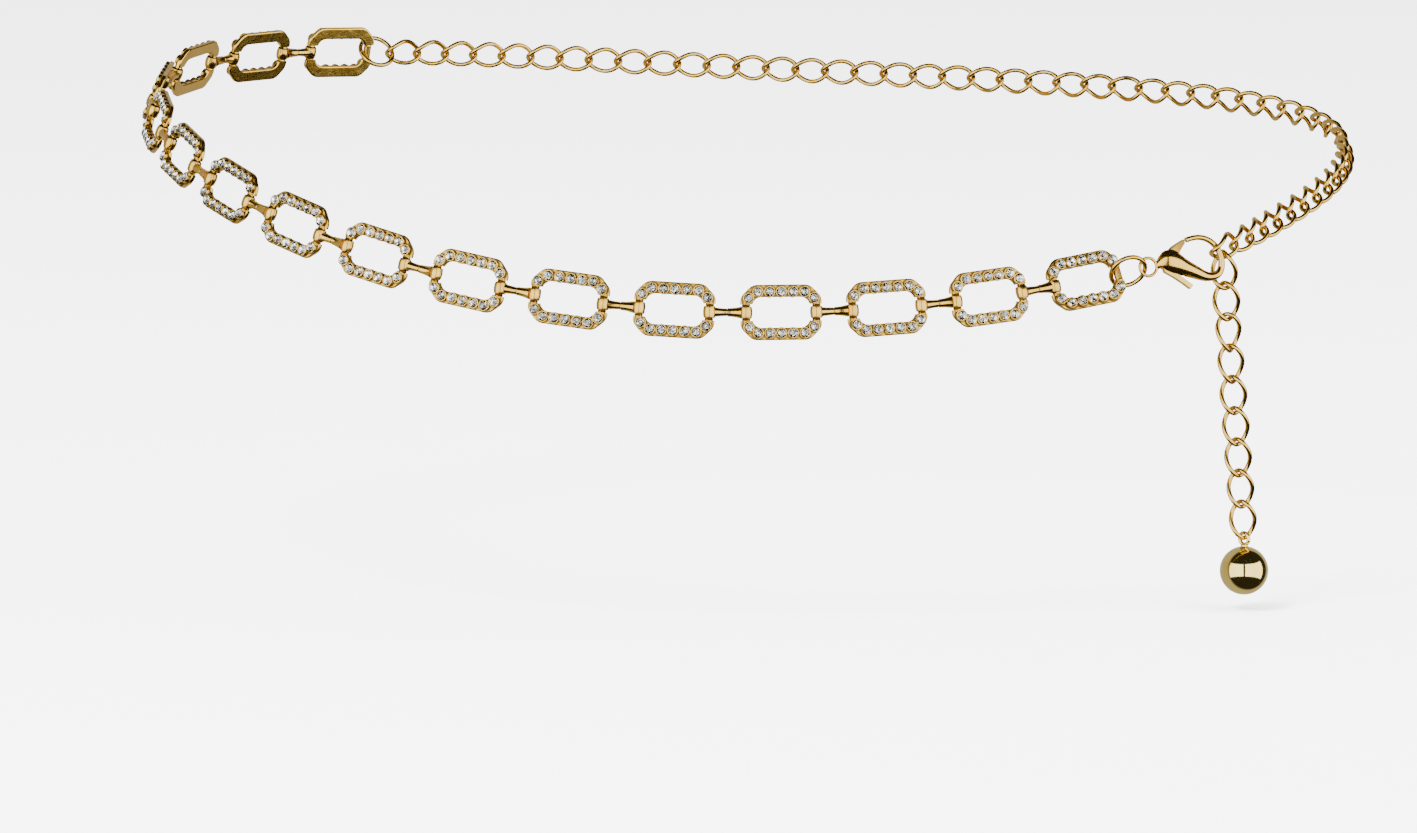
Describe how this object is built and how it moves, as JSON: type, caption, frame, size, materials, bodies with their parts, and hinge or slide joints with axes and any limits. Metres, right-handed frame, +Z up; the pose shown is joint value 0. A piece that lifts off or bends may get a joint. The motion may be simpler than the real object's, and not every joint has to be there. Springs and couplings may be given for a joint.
{
  "type": "waist chain",
  "caption": "Waist chain of stone-set links with a lobster clasp, a curb extension chain and a hanging ball end.",
  "frame": {"origin": "middle of the space that the loop goes round, at the mean height of its highest and lowest points", "axes": "+Z up the wearer's body, +X to the wearer's left side where the clasp is, -Y out of the wearer's front"},
  "size_m": [0.321, 0.2279, 0.1314],
  "materials": {
    "gold": "polished",
    "crystal": "clear"
  },
  "bodies": {
    "chain": {"link_frame_01": "gold", "link_frame_02": "gold", "link_frame_03": "gold", "link_frame_04": "gold", "link_frame_05": "gold", "link_frame_06": "gold", "link_frame_07": "gold", "link_frame_08": "gold", "link_frame_09": "gold", "link_frame_10": "gold", "link_frame_11": "gold", "link_frame_12": "gold", "link_frame_13": "gold", "link_frame_14": "gold", "link_frame_15": "gold", "link_frame_16": "gold", "connector_01": "gold", "connector_02": "gold", "connector_03": "gold", "connector_04": "gold", "connector_05": "gold", "connector_06": "gold", "connector_07": "gold", "connector_08": "gold", "connector_09": "gold", "connector_10": "gold", "connector_11": "gold", "connector_12": "gold", "connector_13": "gold", "connector_14": "gold", "connector_15": "gold", "stones_left": "crystal", "stones_right": "crystal", "front_ring": "gold", "back_ring": "gold", "clasp_body": "gold", "curb_chain": "gold", "tail_chain": "gold"},
    "lever": {"clasp_lever": "gold"},
    "drop": {"ball_drop": "gold"}
  },
  "joints": [
    {"name": "lever_hinge", "type": "hinge", "parent": "chain", "child": "lever", "pos_m": [0.10712, -0.08286, -0.01418], "axis": [-0.3183, 0.9235, -0.2139], "range_deg": [0, 25], "stiffness_Nm_per_rad": 0.01, "springref_deg": -20.05},
    {"name": "drop_swing", "type": "hinge", "parent": "chain", "child": "drop", "pos_m": [0.12716, -0.07487, -0.08645], "axis": [0.7059, 0.7083, 0], "range_deg": [-35, 35]}
  ]
}
